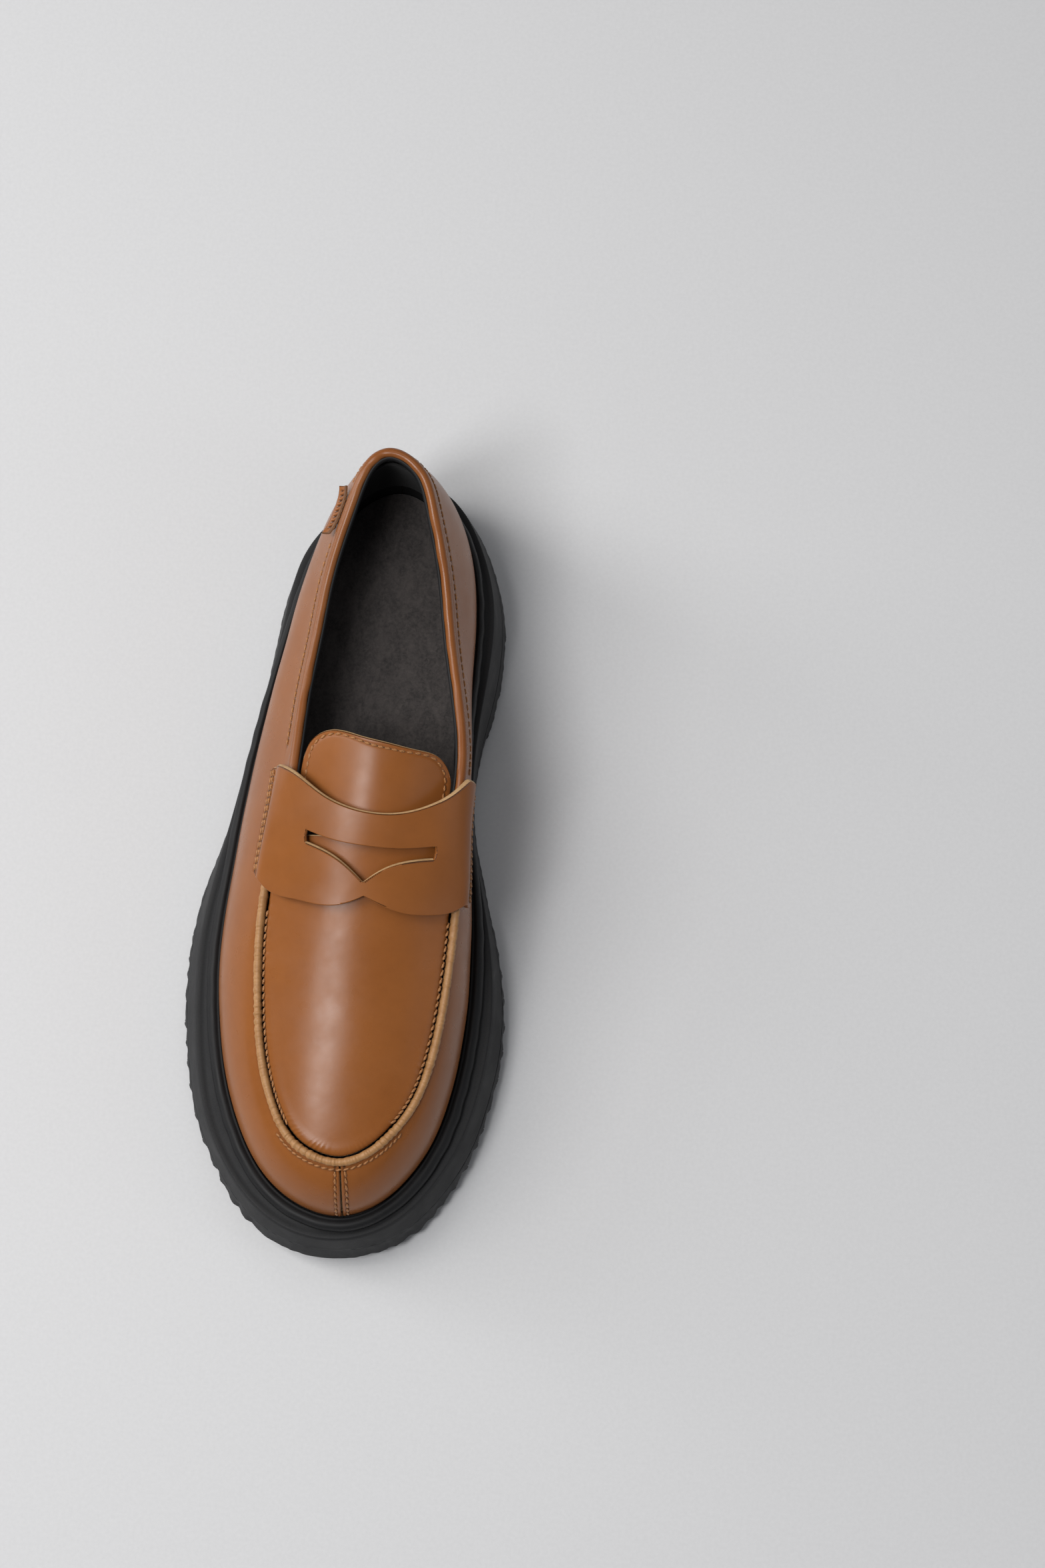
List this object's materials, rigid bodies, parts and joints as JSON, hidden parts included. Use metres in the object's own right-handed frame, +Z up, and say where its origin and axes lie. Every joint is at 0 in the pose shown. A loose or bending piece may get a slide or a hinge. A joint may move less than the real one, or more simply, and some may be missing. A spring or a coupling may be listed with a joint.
{
  "type": "penny loafer",
  "caption": "Slip-on penny loafer for the right foot: moccasin-seamed upper, slotted saddle strap, hinged tongue, rolled collar and a thick lugged sole.",
  "frame": {"origin": "on the ground, under the middle of the shoe's bounding box", "axes": "+Y runs from toe to heel along the sole's length, +Z is up from the tread, +X points to the medial (inner) side"},
  "size_m": [0.1226, 0.3003, 0.099],
  "materials": {
    "upper_leather": "polished smooth leather with a fine grain",
    "raw_edge_leather": "burnished edge leather, satin",
    "binding_leather": "polished smooth leather",
    "lining_leather": "matt lining leather",
    "suede_grip": "napped suede",
    "footbed_suede": "napped suede",
    "footbed_foam": "open-cell foam, matt",
    "fibre_board": "pressed fibre, matt",
    "cork": "ground cork, matt",
    "shank_steel": "rolled spring steel",
    "outsole_rubber": "moulded rubber, matt",
    "midsole_foam": "moulded foam, fine pebble, matt",
    "welt_rubber": "moulded rubber, satin",
    "thread": "twisted waxed thread"
  },
  "bodies": {
    "root": {"quarter_lateral": "upper_leather", "quarter_medial": "upper_leather", "apron": "upper_leather", "saddle_strap": "upper_leather", "heel_tab": "upper_leather", "apron_piping": "raw_edge_leather", "collar_binding": "binding_leather", "vamp_lining": "lining_leather", "quarter_lining_lateral": "lining_leather", "quarter_lining_medial": "lining_leather", "apron_lining": "lining_leather", "heel_grip": "suede_grip", "footbed_cover": "footbed_suede", "footbed_foam": "footbed_foam", "insole_board": "fibre_board", "toe_puff": "fibre_board", "heel_counter": "fibre_board", "side_stay_lateral": "fibre_board", "side_stay_medial": "fibre_board", "bottom_filler": "cork", "shank": "shank_steel", "shank_rivets": "shank_steel", "outsole": "outsole_rubber", "midsole": "midsole_foam", "welt": "welt_rubber", "thread_topline": "thread", "thread_toe_seam": "thread", "thread_apron": "thread", "thread_strap_lateral": "thread", "thread_strap_medial": "thread"},
    "tongue": {"tongue": "upper_leather", "tongue_lining": "lining_leather", "thread_tongue": "thread"}
  },
  "joints": [
    {"name": "tongue_hinge", "type": "hinge", "parent": "root", "child": "tongue", "pos_m": [0.0075, 0.003, 0.0885], "axis": [1, 0, 0], "range_deg": [-12, 8], "stiffness_Nm_per_rad": 0.15}
  ]
}
